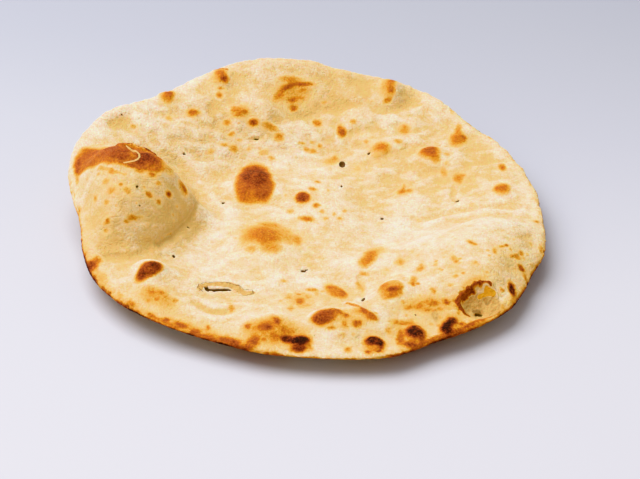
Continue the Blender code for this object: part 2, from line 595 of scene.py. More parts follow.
# The back, from left to right.
BACK_MARKS = marks(
    Scorch,
    (-68, 75, 3.4, 4, 0, 0.44), (-67, 76.6, 2.2, 2.2, 0, 0.6), (-55.5, 68, 2.2, 2, 0, 0.56),
    (-53.2, 69, 1.6, 1.2, 20, 0.34), (-66.5, 62.5, 1.6, 2.2, 0, 0.28), (-83, 51, 1.6, 1.3, 0, 0.28),
    (-80, 68, 1.6, 1.6, 0, 0.14), (-42, 89.5, 4.8, 2, -58, 0.5), (-40.3, 86.6, 1.8, 1.5, -30, 0.86),
    (-43, 88, 5, 5.5, -60, 0.22), (-42, 83, 1.6, 0.9, 0, 0.36), (-42.6, 79.6, 1.6, 1.6, 0, 0.46),
    (-34, 71.6, 3, 1.4, -35, 0.4), (-32, 70.4, 4.6, 3.4, 0, 0.3, 0.2), (-32.8, 69, 2.4, 1.5, 20, 0.38),
    (-30, 70.5, 1.8, 1.2, 0, 0.38), (-38.6, 66.5, 1.9, 1.5, 0, 0.42), (-25.6, 66, 2.1, 1.5, 0, 0.66),
    (-36.2, 61.6, 1.8, 1.1, 15, 0.34), (-39.5, 55.6, 2, 1.2, 15, 0.32), (-34.7, 54.8, 2.2, 2, 0, 0.36),
    (-27.5, 55.8, 1.4, 1.1, 0, 0.24), (-17, 65, 4.4, 1.6, -18, 0.36), (-12.6, 61.4, 2.4, 2.3, 20, 0.37),
    (-20, 54, 3, 2, 0, 0.22), (-16.3, 51.6, 1.8, 1.1, -30, 0.28), (-46, 50, 2.4, 1.8, 30, 0.22),
    (-47, 57.5, 2, 1.2, 20, 0.16), (-32, 59.5, 1.6, 1, 0, 0.22), (-12, 84, 6.5, 1.7, 62, 0.42),
    (-8, 88, 4.5, 1.3, 35, 0.56), (-1, 90.5, 5, 1.1, 6, 0.6), (-7, 91.5, 5.5, 1.5, 10, 0.36),
    (-6, 83, 3, 1.5, 35, 0.52), (-2.5, 85, 2.4, 1, 25, 0.34), (-5.6, 78.5, 2.2, 1.5, 40, 0.55),
    (-1, 88, 2, 0.9, 20, 0.36), (-6, 86, 10, 7, 35, 0.27, 0.2), (9.8, 84.6, 2.6, 0.8, 5, 0.24),
    (6.2, 73, 1.9, 2.3, 0, 0.46), (18.4, 67.6, 2, 3.2, 10, 0.6), (17.5, 70.5, 1, 1.6, 0, 0.4),
    (24, 72.2, 1.6, 1.3, 0, 0.3), (1.2, 58, 2, 1.3, 0, 0.3), (4.3, 57.3, 1.8, 1.5, 0, 0.36),
    (7.4, 60.8, 1, 1.3, 0, 0.38), (-0.6, 60.2, 1.2, 1, 0, 0.28), (4, 62, 1.3, 1, 0, 0.25),
    (13, 51.3, 3.8, 3.4, 10, 0.28), (15, 53.6, 1.4, 1.8, 0, 0.32), (26, 44, 2.4, 4.4, 0, 0.21),
    (37.6, 54.6, 3.8, 3, -5, 0.46), (37, 53, 6, 6.4, 0, 0.2, 0.3), (45.8, 58.2, 2, 1.4, 0, 0.32),
    (49.5, 68, 3, 3.4, 0, 0.33), (49.6, 70, 1, 1, 0, 0.34), (30.5, 61.5, 1.2, 1.5, 0, 0.28),
    (28, 66.5, 4, 1.4, 25, 0.15), (33, 85, 2, 1.4, 0, 0.15), (44, 97, 2.2, 6, -14, 0.46),
    (43.6, 90, 1.5, 2.6, 0, 0.5), (41.5, 85.5, 3.4, 1.3, 48, 0.42), (41.5, 93, 4, 9, -10, 0.28, 0.2),
)

# The right.
RIGHT_MARKS = marks(
    Scorch,
    (61.5, 48.5, 4.2, 4.4, 25, 0.56, 0.3), (59, 49.5, 4, 3.6, 0, 0.4), (63.5, 44, 2.4, 3.6, 20, 0.38),
    (69.6, 47, 1.8, 1.3, 0, 0.25), (75.5, 59.5, 3.6, 5.4, -10, 0.46), (76.3, 67.5, 1.5, 5.5, -8, 0.4),
    (78.4, 60.6, 1.7, 1.6, 0, 0.52), (67.4, 36, 1.8, 3.4, 10, 0.3), (69, 41, 1.6, 2, 0, 0.18),
    (74, 30.8, 2.2, 3.4, 15, 0.44), (75.6, 33, 2, 2.4, 40, 0.3), (77, 33, 1.6, 1.2, 0, 0.27),
    (47, 24, 2.2, 3, 0, 0.42), (48, 23, 4, 3, 0, 0.2), (50.3, 24.2, 1.4, 2.2, 0, 0.38),
    (47.8, 28, 1, 3, -5, 0.3), (95.5, 34.5, 1.7, 3, 0, 0.46), (94.2, 15.2, 3.4, 4, 0, 0.5),
    (91.2, 15, 1.6, 2.4, 0, 0.46), (79, 7.6, 1.4, 1.5, 0, 0.18), (53.6, 0, 1.6, 2, 0, 0.18),
    (84.3, -4, 2, 2.6, 0, 0.13), (107.6, -10.4, 1.8, 1, -10, 0.34), (75.8, -36.6, 2.2, 0.9, -38, 0.4),
    (85.5, -41.5, 1.2, 2.2, 0, 0.36), (89, -37.8, 1.6, 0.9, 10, 0.36), (91.4, -36.7, 1.2, 0.8, 0, 0.34),
    (97.8, -38.6, 1.3, 1.3, 0, 0.4), (95.5, -41.4, 2, 1.6, 0, 0.4), (93, -42.2, 1.2, 1.2, 0, 0.36),
    (97.2, -46.6, 1.9, 1.2, -40, 0.68), (98.7, -50.8, 1.3, 2.4, 10, 0.36), (94, -50, 2.2, 4, 0, 0.16),
    (103, -30, 1, 2, 0, 0.24), (91.8, -61.5, 1.5, 3.6, 12, 1.0, 0.5), (87.3, -64, 1.2, 1, 0, 0.34),
    (52.4, -48, 1.7, 2.4, -15, 0.38), (58.6, -48.6, 1.4, 1.6, 0, 0.2), (67, -47, 1.5, 3.4, 14, 0.26),
    (67.7, -49, 1, 1.3, 0, 0.36), (76, -51, 1.7, 1.4, 0, 0.27), (67, -59.2, 1.3, 1, 0, 0.32),
    (70.4, -58, 1.2, 1.2, 0, 0.16), (57, -65.6, 1.4, 1.6, 0, 0.33), (64.6, -63.3, 1.7, 0.9, 0, 0.24),
    (48.6, -57.5, 1.5, 3.2, -8, 0.36), (48.3, -60.4, 1.4, 1, 0, 0.48), (46, -73.4, 1.8, 1.3, 0, 0.36),
    (50.5, -73.2, 2.4, 1.6, 0, 0.42), (57, -72, 2.4, 1.6, 10, 0.46), (54, -72.6, 11, 5, 4, 0.24, 0.2),
    (72, -75, 8, 7, 20, 0.22, 0.0), (54, -75.4, 2.2, 1.3, 0, 0.36), (59.5, -75, 1.6, 1.2, 0, 0.34),
    (62.3, -71.4, 1.7, 1.5, 0, 0.52), (66.5, -71, 3, 4, 0, 0.26), (75, -62.5, 8, 3, 30, 0.24),
)

# The middle.
MIDDLE_MARKS = marks(
    Scorch,
    (-24.2, 34, 7.6, 13.6, 0, 0.7, 0.66), (-28.6, 23, 4.8, 10, 0, 0.5, 0.6),
    (-19.4, 23, 4.8, 10, 0, 0.58, 0.6), (-24.4, 18, 7, 5.6, 0, 0.38, 0.7), (-22.6, 37, 5, 8, 0, 0.6, 0.3),
    (-24, 43, 6, 4, 0, 0.56, 0.6), (-27.5, 34, 4, 8, 0, 0.5, 0.4), (-0.6, 15.2, 3.5, 3.9, 0, 0.74, 0.6),
    (5.7, 7.8, 1.3, 2, 0, 0.44), (8.3, 3.5, 1.1, 1.3, 0, 0.28), (10.3, -1.4, 1.3, 1, 0, 0.28),
    (14.2, 1.6, 0.9, 1.4, 0, 0.22), (19, 4.9, 1.1, 1.7, -20, 0.28), (16.9, -1.1, 1.4, 1.1, 0, 0.28),
    (-6.2, 5.8, 2, 2.2, 0, 0.25), (1.2, -1.4, 3.6, 1.5, -16, 0.47), (6.6, 30, 1.2, 1.9, 20, 0.38),
    (4, 22.6, 1.8, 1.3, -20, 0.38), (11.6, 22, 0.7, 1.8, 0, 0.28), (-8.8, 18, 0.9, 1.4, 0, 0.2),
    (-7.2, 24, 0.8, 2, 0, 0.13), (5, 40, 1.4, 4, 0, 0.12), (-17.5, -15.5, 8, 9.4, 0, 0.46, 0.5),
    (-16, -4.5, 5.4, 2.6, -4, 0.36), (-25.5, -15, 3.6, 9.6, -6, 0.3), (-6, -16.5, 5.6, 6, 20, 0.28),
    (-2.6, -17, 1.6, 3.6, 0, 0.36), (-9.5, -9.5, 4, 4, -40, 0.28), (-14.5, -27, 4.6, 4, 10, 0.33),
    (-23.5, -28, 2.8, 2.4, 0, 0.28), (-18, -16, 14, 16, 0, 0.14), (31, -31, 8, 3, 74, 0.41),
    (28.6, -37, 3.2, 3.4, 0, 0.42), (33, -28, 7, 4.6, 66, 0.24), (-31, -18, 0.8, 1.4, 20, 0.16),
    (0, -31.5, 1.6, 1.8, 0, 0.16), (43.6, -39.6, 2.1, 2.8, 0, 0.31), (37.6, -43.6, 2.4, 1.8, 0, 0.16),
    (51.6, -37, 1.4, 1.3, 0, 0.16), (27.4, -44.6, 2.2, 1.2, -25, 0.3), (24.7, -50, 1.2, 1.6, 0, 0.26),
    (26.4, -53.6, 0.9, 3, 10, 0.2), (-8.6, -48.4, 1.6, 1.3, 0, 0.26), (25.6, -53, 2, 5, 6, 0.22, 0.2),
    (-20, -43, 1.3, 1.1, 0, 0.14), (30.5, 1, 1.1, 1, 0, 0.12), (6.8, -14.5, 1, 1.2, 0, 0.12),
)

# The front, from left to right.
FRONT_MARKS = marks(
    Scorch,
    (-68, -54.4, 7.8, 3.4, 45, 0.72, 0.76), (-65, -51.6, 3.4, 2.6, 45, 0.68, 0.5),
    (-71, -57.4, 2.8, 2.2, 45, 0.52, 0.5), (-64, -66.6, 7, 4, -12, 0.26, 0.2),
    (-60, -71, 7, 4.4, -20, 0.24, 0.2), (-65.6, -65.4, 2.2, 1.2, 0, 0.4), (-61.6, -65.4, 1.4, 1.2, 0, 0.42),
    (-55.6, -68.6, 1.4, 1.4, 0, 0.34), (-67, -70, 5, 3, -30, 0.15), (-64, -67.6, 10, 5.6, -16, 0.18, 0.4),
    (-31, -71, 1.3, 2.6, 0, 0.32), (-31.8, -67.4, 1.2, 1, 0, 0.22), (-94.6, -45.4, 3, 2.6, -50, 0.84),
    (-92, -42, 2, 2.4, 0, 0.46), (-88.4, -53.6, 2.4, 4, 20, 0.22), (-40.4, -85.6, 0.9, 2, 0, 0.44),
    (-23.4, -87, 1.4, 1.3, 0, 0.64), (-74.5, -71.5, 2.2, 1.4, -35, 0.44), (-65, -78, 2.4, 1.2, -35, 0.4),
    (-58.5, -81, 1.8, 1.3, 0, 0.66), (-52, -84.4, 3.2, 1.7, -25, 0.62), (-45.6, -88, 2.6, 1.4, -25, 0.52),
    (-39.6, -90.8, 2, 1.2, -20, 0.5), (-33, -93.4, 4.6, 1.8, -15, 0.6), (-24, -98.4, 2.2, 1.2, 0, 0.6),
    (-11.5, -101.6, 1.5, 1, 0, 0.5), (-46, -86, 14, 3.4, -24, 0.26, 0.0), (-11, -86.2, 1.5, 2.6, 25, 0.66),
    (-14.5, -89.6, 2.6, 1.6, 0, 0.6), (-18, -89, 1.6, 1, 0, 0.44), (-20.6, -95.4, 2.8, 3, -30, 0.64),
    (-28.5, -95, 3, 2, -20, 0.6), (-12, -94, 2.2, 2.8, 0, 0.44), (-7.4, -90.6, 3, 1.8, -30, 0.4),
    (-12, -91, 14, 8, -6, 0.3, 0.3), (-15, -88.6, 4.4, 3, 0, 0.42, 0.2),
    (-6.4, -94.6, 3, 1.7, -5, 0.95, 0.5), (0.2, -95.4, 3.2, 2.9, 0, 1.1, 0.55),
    (-0.8, -99.2, 3.2, 1.8, 0, 0.84, 0.4), (-3.4, -96.2, 1.8, 1.6, 0, 0.95, 0.5),
    (3.2, -98, 0.9, 3, 20, 0.36), (8.8, -84, 5, 3.8, 5, 0.62, 0.66), (8, -85, 3.4, 2.4, 0, 0.6, 0.4),
    (14.2, -81.4, 4.4, 2.3, 18, 0.54, 0.5), (12.6, -89.4, 2, 0.8, 0, 0.4), (18.8, -83.4, 1.6, 1.5, 0, 0.5),
    (18, -87.6, 1.4, 2, 0, 0.36), (23.6, -87, 2.1, 1.9, 0, 0.52), (19, -84, 12, 6.4, -5, 0.2),
    (25.4, -80.4, 6, 3, -45, 0.3, 0.2), (26.4, -79.6, 2.6, 1.6, -55, 0.56), (29.6, -83, 2.6, 1.8, -35, 0.5),
    (16.5, -72, 1.2, 3.4, 50, 0.18), (17, -92.2, 2.4, 1.4, 0, 0.2), (14.6, -56, 6.6, 4, -52, 0.44, 0.6),
    (12.2, -52.6, 1.7, 1.6, 0, 0.46), (17.8, -56.6, 1.1, 4, 20, 0.46), (4.2, -54.4, 3, 1.1, -18, 0.36),
    (6.2, -57.6, 1, 2, 0, 0.24), (-1.2, -65.2, 1.8, 4, 0, 0.5), (-6.2, -60, 1.1, 2.4, 0, 0.24),
    (-5.2, -73, 1, 4, 0, 0.22), (-2.2, -57.8, 1.3, 1, 0, 0.24), (1.8, -60, 0.8, 3, 0, 0.22),
    (0, -70.6, 1.6, 2.6, 0, 0.24), (-6.3, -62, 1.4, 1.5, 0, 0.3), (-1.9, -58, 1.2, 1.2, 0, 0.34),
    (2.4, -60.6, 1.2, 1.6, 0, 0.26), (-5, -72.6, 2, 1.8, 0, 0.26), (2.2, -69.6, 1.3, 1.6, 0, 0.28),
    (-1, -64, 8, 9, 0, 0.2, 0.2), (35.6, -60.6, 2.2, 5, 6, 0.38), (39, -65.6, 2.4, 1.9, 0, 0.8),
    (38.4, -69, 3.4, 1.4, 8, 0.42), (42.4, -66, 1.3, 3, 0, 0.4), (38, -63.6, 6, 6.6, 4, 0.3, 0.7),
    (42, -82.6, 4.4, 1.8, 6, 0.38), (46.5, -82.6, 2.6, 1.6, -30, 0.34), (48, -89, 3.6, 4.4, 8, 1.02, 0.5),
    (51, -91, 1.8, 4.4, 0, 0.74), (42, -92.4, 1.9, 5, -4, 0.56), (46.4, -96.6, 3.4, 2, 10, 0.84),
    (46, -89, 8, 9, 0, 0.24), (37, -88.6, 1.2, 2, 0, 0.32), (30.9, -95.6, 4, 2.8, 0, 1.0, 0.66),
    (33.4, -98, 1.3, 2.4, 0, 0.86, 0.5), (30.6, -99, 3.4, 1.8, 0, 0.38), (28, -101, 1, 0.8, 0, 0.7),
    (32.4, -101, 1.2, 0.8, 0, 0.74), (30.6, -97, 5, 6.6, 0, 0.24), (19.3, -99.6, 1.5, 1.8, 0, 0.4),
    (64.4, -81.6, 2.4, 2.6, 20, 0.98, 0.5), (61.8, -86, 2.5, 4.2, -10, 1.1, 0.55),
    (68.4, -82.6, 1.4, 1.3, 0, 0.56), (64, -84, 6, 6.6, -20, 0.26), (74, -85, 12, 3, 28, 0.3),
)

SCORCHES = CREST_MARKS + BACK_MARKS + RIGHT_MARKS + MIDDLE_MARKS + FRONT_MARKS

# Browned lines, along the pocket's crest and the front rim.
STREAKS = marks(
    Streak,
    (((-103, 19), (-97, 17), (-91, 12), (-84, 9), (-77, 9), (-70, 7)), 5, 0.55),
    (((-104, 13), (-98, 9), (-92.5, 4), (-87, 1), (-80, 0.5), (-74, 0), (-68, 1)), 3.6, 0.5),
    (((-93.5, -1.5), (-87, -6.2), (-81, -7.4)), 0.9, 0.24),
    (((-45.5, 95.2), (-42, 94), (-39, 92.4)), 0.7, 0.5),
    (((19.5, -68.4), (21.6, -70.6), (24.4, -75.4), (27, -80), (31.5, -84)), 0.8, 0.42),
    (((50.2, -96.2), (56, -92), (62, -89.4)), 1.1, 0.5),
    (((62.6, -90), (68.2, -86.2), (73.4, -82)), 1.4, 0.62),
    (((75.4, -80.6), (80.4, -77), (84.6, -74)), 1.1, 0.5),
    (((-66, -77.6), (-60, -81.6), (-54, -85.4)), 0.9, 0.38),
    (((-47, -88.6), (-43, -90.6), (-37, -93.6)), 1.2, 0.52),
    (((-31, -95.8), (-26, -97.6), (-22, -98.6)), 1.2, 0.54),
)

# Blisters, and one dent.
SWELLINGS = marks(
    Swelling,
    (-66, 5, 12, 8, -35, 2.8, 2.2), (-24.5, 32, 12, 19, 0, 1.8, 2.2), (-0.5, 16, 5.5, 6, 0, 0.9),
    (-17, -14, 13, 12, 0, 1.2), (-68, -48, 10, 13, -5, 3.0), (10, -81, 9, 7, 10, 1.6),
    (14.5, -56, 8, 5, -50, 1.2), (31, -96, 5, 5.5, 0, 1.6, 3.0), (48, -89, 6, 7, 0, 1.8, 3.0),
    (63, -84, 4.5, 7, -20, 1.4), (-1, -96, 6, 5, 0, 1.6), (39, -61, 7, 11, 0, 1.2),
    (77, -71, 9.2, 8.6, 0, -1.4, 5.0), (61.5, 48, 7, 7, 0, 1.0), (76, 60, 6, 8, 0, 1.0),
    (94, 15, 6, 6, 0, 0.8), (37, 54, 7, 6, 0, 1.4), (18, 66, 4, 6, 0, 0.8), (-68, 76, 6, 6, 0, 1.4),
    (-41, 89, 6, 7, -20, 1.2), (44, 95, 7, 10, -12, 1.8), (-33, 70, 7, 5, 0, 0.9),
    (-55, 68, 4, 3.5, 0, 0.7),
)

# Folds and pressed lines.
CREASES = marks(
    Crease,
    (((-86, 12), (-82, 13.5), (-79, 14)), 1.1, -1.4),
    (((-76, 13), (-73, 13.5), (-70, 12)), 1.0, -1.0),
    (((-82, 10.5), (-79, 11)), 1.3, 0.8),
    (((-98, 12), (-88, 9), (-78, 6), (-68, 4), (-59, 1)), 9.0, -0.3),
    (((-76, 12), (-72, 11), (-68, 9), (-62, 5), (-57, -1)), 8.0, -0.4),
    (((-87, -39), (-78, -38), (-72.6, -34), (-65, -27.6), (-59, -20.5)), 2.2, 1.0),
    (((-65, -27.4), (-59, -20.2), (-53.6, -10), (-50.6, -4), (-49, 3)), 1.3, 1.3),
    (((-49, 6), (-50, 18), (-54, 30), (-61, 38)), 4.0, 0.7),
    (((-93, 47), (-91, 50), (-88, 53), (-85, 57), (-83, 62)), 3.2, 1.1),
    (((-78, 62), (-66, 66), (-52, 66)), 3.0, 0.5),
    (((-72, 55), (-58, 60), (-44, 63)), 2.6, 0.4),
    (((-64, 49), (-50, 54), (-38, 58)), 2.6, 0.4),
    (((-52, 44), (-40, 49), (-28, 52)), 2.8, 0.4),
    (((-26.5, 60), (-23, 60.2), (-20.5, 61.2)), 0.8, 0.6),
    (((-14, 69), (-6, 71.5), (1, 76), (8, 80.5), (16, 80.5), (21, 83)), 3.6, 1.0),
    (((36, 80), (44, 79.5), (50, 83), (54, 89), (56, 94)), 4.0, 1.2),
    (((57, -0.5), (62, 2), (70, 4), (82, 4.5), (92, 4)), 2.2, 0.9),
    (((58, -4), (66, -1), (78, -0.5), (90, -1), (100, -3)), 3.4, -1.3),
    (((82, -62), (78.6, -62.4), (75, -63.6), (71.6, -65.8), (68.4, -69), (67.4, -72),
      (69.4, -75)), 1.0, -0.7),
    (((25, -46), (26.6, -54), (26.4, -66)), 1.2, 0.9),
    (((-47, -68), (-41, -73), (-34, -75), (-29.5, -72)), 1.8, 0.9),
    (((-46, -66), (-38, -69.5), (-32, -69)), 2.2, -0.6),
    (((71, 24), (70.6, 15), (72.4, 12)), 1.1, 0.7),
    (((4, -3), (7, -4.4)), 0.7, 0.5),
    (((92, -31), (98, -28), (104, -23)), 1.8, 0.4),
    (((88, -26), (94, -23), (100, -18)), 1.8, 0.3),
    (((19, -67), (23, -70), (25, -77), (31, -83)), 1.2, -0.7),
    (((-86, -33), (-76, -32), (-68, -28)), 1.6, 0.35),
    (((-90, -28), (-78, -26), (-66, -20)), 1.6, 0.3),
)

# Pinholes, darkened inside with painted shade.
PRICKS = marks(
    Prick,
    (18.5, 48.8, 1.3, 2.2, 0, 1.2), (-58.3, 44.7, 0.5, 0.65), (-38.2, 14.2, 0.6, 0.7),
    (-58.9, -30.5, 0.55, 0.65), (0.2, -39.9, 1.0, 0.8, 10), (1.4, -39, 1.0, 0.6, 45),
    (36.8, 1.8, 0.6, 0.75), (31.5, 53.5, 0.6, 0.8), (-24, 60.6, 0.9, 0.36, 8, 1.0),
    (-75.3, -11.5, 0.5, 0.5, 0, 1.0), (-74.2, -19.3, 0.35, 0.35, 0, 0.5), (72, 12.5, 0.45, 0.5, 0, 1.0),
    (73.2, 12.9, 0.4, 0.5, 0, 1.0), (26.4, -65, 0.7, 1.6, 0, 0.9), (18, 27.5, 0.45, 0.6, 0, 0.6),
    (5, -92.2, 0.35, 0.4, 0, 0.6), (-53.2, -10.6, 0.4, 0.45, 0, 1.0), (-89, 55.5, 0.35, 0.4, 0, 0.5),
    (-52.6, 66.6, 0.35, 0.4, 0, 0.5), (48.7, -77.4, 0.3, 0.35, 0, 0.5),
)

# Where the dough is more golden, or with a strength below 0 paler: mostly its own tone, but painted
# shade on the pocket's face and foot, and painted light on the right bulge and just past the pocket's foot.
TINTS = marks(
    Tint,
    (-5, 92, 50, 20, 0, 0.22), (55, 58, 50, 30, -25, 0.12), (42, 24, 24, 18, 0, 0.16),
    (-34, 60, 30, 14, 0, 0.1), (-89, 51, 9, 5, 50, 0.15), (-90, 50, 6, 2.4, 50, 0.4),
    (-44, 75, 12, 7, 0, 0.1), (-4, 80, 16, 7, 25, 0.2), (18, 84, 9, 6, 0, 0.3), (50, 87, 9, 5, 50, 0.15),
    (86, 52, 6, 14, 10, 0.25), (13, 10, 4, 8, 0, 0.25), (-72, -16, 24, 18, 20, 0.36),
    (-60, -14, 15, 7, 50, 0.25), (-51, 6, 3, 12, 0, 0.2), (-38, 20, 4, 5, 0, 0.2),
    (-43, -71, 5, 1.6, -35, 0.4), (-36, -73.4, 5.6, 1.8, 4, 0.55), (-59, -74, 5, 3, 0, 0.3),
    (58, -79, 5, 4, 0, 0.35), (100, -28, 8, 9, -50, 0.25), (80, 22, 6, 5, 0, 0.25),
    (66, 33, 5, 8, 20, 0.25), (15, 100, 20, 3, -4, 0.25), (-94, -30, 14, 30, 0, 0.35),
    (-70, -74, 18, 9, -30, 0.35), (-45, -87, 16, 7, -20, 0.35), (78, -57, 20, 12, 25, 0.35),
    (95, -42, 12, 16, 0, 0.25), (88, 32, 20, 12, 0, 0.25), (35, 92, 14, 7, 0, 0.25),
    (-20, 69, 10, 7, 0, 0.2), (-46, -16, 12, 6, 60, -0.5), (-54, -31, 9, 5, 20, -0.25),
    (55, -76, 10, 8, 0, 0.3), (-30, 50, 18, 10, 0, -0.25), (-2, 50, 14, 9, 0, -0.35),
    (-38, 8, 8, 18, 0, -0.2), (-38, -35, 12, 14, 0, -0.3), (46, -14, 20, 12, 0, -0.42),
    (0, -50, 14, 9, 0, -0.3), (-80, 60, 12, 9, 0, -0.2), (-60, 88, 10, 6, 0, -0.3), (8, -94, 8, 5, 0, -0.3),
    (42, -48, 12, 8, 0, -0.2), (-10, 2, 8, 6, 0, -0.2),
)

# Thin curled edges of crust.
LIPS = marks(
    Streak,
    (((77, -66.8), (82, -65.4)), 0.7, 2.0),
    (((80.4, -65), (83, -65.8)), 1.2, 2.0),
    (((-82, 12.2), (-80, 11.2), (-77.6, 8.8), (-75.8, 6.4), (-75.5, 4.4)), 0.5, 0.72),
    (((-75.5, 4.4), (-76.2, 2.8), (-77.6, 1.4), (-79.6, 0.2), (-82, -1)), 0.42, 0.7),
)

# Open slits, darkened inside with painted shade.
SLITS = marks(
    Streak,
    (((-42.4, -55.2), (-42.2, -57)), 0.8, 1.0),
    (((-42.3, -56.1), (-37.4, -55.2), (-32.2, -54.6)), 0.8, 1.0),
    (((75.6, -74), (77.4, -74.4)), 0.7, 0.8),
)

# Thin dark lines round torn places.
OUTLINES = marks(
    Streak,
    (((-44, -59), (-46.4, -57), (-45.8, -53.6), (-42.6, -50.8), (-38, -50), (-33, -50.4),
      (-28.4, -52.2)), 0.4, 0.4),
    (((-28.4, -52.2), (-25.8, -55.6), (-22.6, -56.2), (-21.4, -58.6), (-25, -60.4),
      (-28.6, -59)), 0.4, 0.4),
    (((83, -62.6), (85.4, -66), (85, -71), (81, -75.4)), 0.35, 0.3),
    (((74.6, -72.4), (76.6, -72.8)), 1.3, 0.4),
    (((80, -69), (82, -68.4)), 0.7, 0.3),
)

# Torn places, where the crumb shows.
BARE = marks(
    Streak,
    (((-45.2, -58), (-44.4, -55), (-42, -52.6), (-38, -51.6), (-33, -52), (-29.6, -53.6),
      (-27.2, -57)), 1.5, 1.0),
    (((-27.2, -57), (-25.4, -58.6), (-22.8, -58)), 1.5, 1.0),
    (((-80.6, 10.4), (-78, 8.4)), 1.1, 1.0),
    (((56.6, -77), (57.4, -80.4)), 2.2, 0.62),
    (((75, -71.6), (80, -71)), 5.6, 1.0),
)

# Burnt edges of the torn places.
RINGS = marks(
    Streak,
    (((81.4, -62.4), (79, -62.8), (75.6, -64), (72.8, -65.6), (70.8, -67)), 0.85, 0.76),
    (((70.6, -67), (68.1, -69.4), (67.4, -71.8), (68.8, -73.9), (71.4, -76)), 1.3, 0.74),
    (((-83, 14.5), (-79, 16), (-75, 15.5), (-70, 13), (-67, 11)), 1.0, 0.85),
)

# Freckled areas.
FRECKLED = marks(
    Tint,
    (66, -58, 34, 22, 20, 1.0), (90, -42, 14, 16, 0, 1.0), (-78, -16, 20, 14, 0, 1.1),
    (4, 58, 12, 8, 0, 0.8), (-30, 62, 16, 12, 0, 0.7), (6, -64, 20, 14, 0, 0.7), (8, 8, 14, 16, 0, 0.5),
    (-12, -88, 18, 10, 0, 0.8), (40, -84, 24, 14, 0, 0.8), (-62, -66, 14, 8, -10, 0.7),
)

# Areas with a rougher surface.
LUMPY = marks(
    Tint,
    (52, 60, 46, 34, -25, 1.2), (-78, -12, 26, 24, 20, 0.45), (-40, 70, 50, 24, 10, 0.45),
)

# How toasted the rim is at each bearing in degrees from +X.
RIM_TOAST = {
    0: 0.42, 15: 0.54, 30: 0.5, 60: 0.42, 75: 0.46, 85: 0.46, 97: 0.34, 105: 0.12, 150: 0.06, 170: 0.1,
    178: 0.26, 186: 0.36, 192: 0.44, 198: 0.66, 204: 0.88, 209: 0.85, 213: 0.74, 223: 0.78, 234: 0.95,
    240: 0.95, 246: 0.86, 255: 0.8, 262: 0.5, 270: 0.36, 281: 0.32, 289: 0.45, 294: 0.74, 303: 0.85,
    311: 0.85, 321: 0.78, 330: 0.66, 338: 0.62, 345: 0.72, 352: 0.5, 360: 0.42,
}

# The uneven surface. Heights are in mm.
WAVES = Clouds(0.7, 16, 3)
LUMPS = (Clouds(0.32, 6, 4, 2, 1.8, 8), Clouds(0.22, 3.4, 5, 1, 1.3, -6))
PUCKERS = Clouds(0.45, 9, 9, 2, 1.3, -10)
TORN_CRUMB = Clouds(0.4, 1.8, 8)
RIM_CRUMBS = (Clouds(0.45, 4, 6), Clouds(0.4, 2, 7))

# The ragged edges of long marks and torn places, small marks, burnt edges and slits.
BROAD_RAGS = Rags(5, 0.12)
FINE_RAGS = Rags(2)
RING_RAGS = Rags(1.5, 0.38)
SLIT_RAGS = Rags(2, 0.08)

# By rounds of averaging: the depth in mm at which a hollow counts as 1, and its lowest and highest count.
# This paints shade: hollows come out more golden, and bumps, below 0, paler as painted light.
HOLLOW_SHADE = {12: (0.1, -0.6, 0.8), 60: (0.7, -0.5, 0.7)}

# How unevenly the rim and the underside are browned.
RIM_REACH = (Clouds(2.2, 8, 31), Clouds(1.5, 2.6, 34))
RIM_BLOTCHES = Clouds(0.8, 2.6, 35)
LINE_BLOTCHES = Clouds(0.5, 9, 36)
UNDER_BLOTCHES = (Clouds(0.3, 24, 32), Clouds(0.12, 6, 33))


# -------------------- finishes


